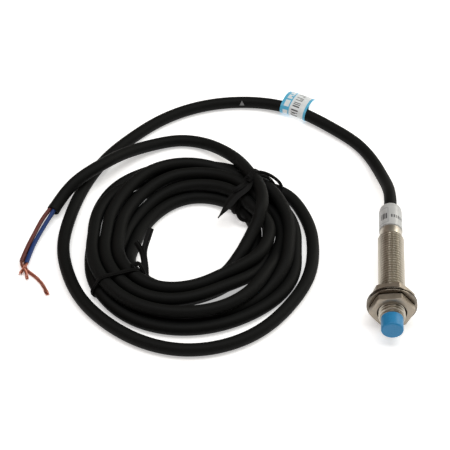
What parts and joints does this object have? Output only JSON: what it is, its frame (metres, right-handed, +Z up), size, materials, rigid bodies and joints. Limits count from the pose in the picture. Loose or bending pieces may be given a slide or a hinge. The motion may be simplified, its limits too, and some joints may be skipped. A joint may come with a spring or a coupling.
{
  "type": "proximity sensor",
  "caption": "Cylindrical threaded inductive proximity sensor with a blue sensing cap, two thin nuts with lock washers, and a free black cable in a tied coil.",
  "frame": {"origin": "under the middle of the sensor, on the surface that it lies on with its washers", "axes": "+Y along the sensor towards its cable, -Y out of the sensing face, +Z up"},
  "size_m": [0.1222, 0.1217, 0.015],
  "materials": {
    "nickel_brass": "satin nickel plating",
    "washer_steel": "zinc plated",
    "cap_blue": "satin moulded plastic",
    "ferrite": "sintered",
    "bobbin_plastic": "matte",
    "enamelled_copper": "enamelled wire",
    "potting": "cast resin",
    "board_green": "solder mask",
    "chip_black": "moulded epoxy",
    "chip_tan": "ceramic",
    "led_red": "clear tinted",
    "collar_grey": "satin moulded plastic",
    "label_film": "printed film",
    "seal_rubber": "matte",
    "jacket_black": "satin PVC",
    "core_brown": "satin PVC",
    "core_blue": "satin PVC",
    "core_black": "satin PVC",
    "bare_copper": "twisted strands",
    "tie_black": "coated wire",
    "flag_film": "printed film"
  },
  "bodies": {
    "sensor": {"barrel": "nickel_brass", "sensing_cap": "cap_blue", "ferrite_core": "ferrite", "coil_bobbin": "bobbin_plastic", "sensing_coil": "enamelled_copper", "coil_end_wires": "enamelled_copper", "front_potting": "potting", "circuit_board": "board_green", "oscillator_chip": "chip_black", "output_transistor": "chip_black", "chip_resistors": "chip_black", "chip_capacitors": "chip_tan", "indicator_led": "led_red", "rear_potting": "potting", "tail_collar": "collar_grey", "label_sleeve": "label_film", "cable_seal": "seal_rubber", "cable_root": "jacket_black", "brown_inner_lead": "core_brown", "black_inner_lead": "core_black", "blue_inner_lead": "core_blue", "cable_lead": "jacket_black", "cable_coil": "jacket_black", "cable_tail": "jacket_black", "brown_core": "core_brown", "blue_core": "core_blue", "black_core": "core_black", "brown_conductor": "bare_copper", "blue_conductor": "bare_copper", "black_conductor": "bare_copper", "upper_tie": "tie_black", "lower_tie": "tie_black", "cable_flag": "flag_film"},
    "front_washer_ring": {"front_washer": "washer_steel"},
    "front_nut_ring": {"front_nut": "nickel_brass"},
    "rear_washer_ring": {"rear_washer": "washer_steel"},
    "rear_nut_ring": {"rear_nut": "nickel_brass"}
  },
  "joints": [
    {"name": "front_nut_travel", "type": "slide", "parent": "sensor", "child": "front_washer_ring", "axis": [0, -1, 0], "range_m": [0, 0.002]},
    {"name": "front_nut_turn", "type": "hinge", "parent": "front_washer_ring", "child": "front_nut_ring", "pos_m": [0, -0.0174, 0.0075], "axis": [0, -1, 0], "range_deg": [0, 720]},
    {"name": "rear_nut_travel", "type": "slide", "parent": "sensor", "child": "rear_washer_ring", "axis": [0, 1, 0], "range_m": [0, 0.02]},
    {"name": "rear_nut_turn", "type": "hinge", "parent": "rear_washer_ring", "child": "rear_nut_ring", "pos_m": [0, -0.0131, 0.0075], "axis": [0, 1, 0], "range_deg": [0, 7200]}
  ],
  "couplings": [
    {"joint": "front_nut_turn", "follows": "front_nut_travel", "rad_per_m": 6283.2},
    {"joint": "rear_nut_turn", "follows": "rear_nut_travel", "rad_per_m": 6283.2}
  ]
}
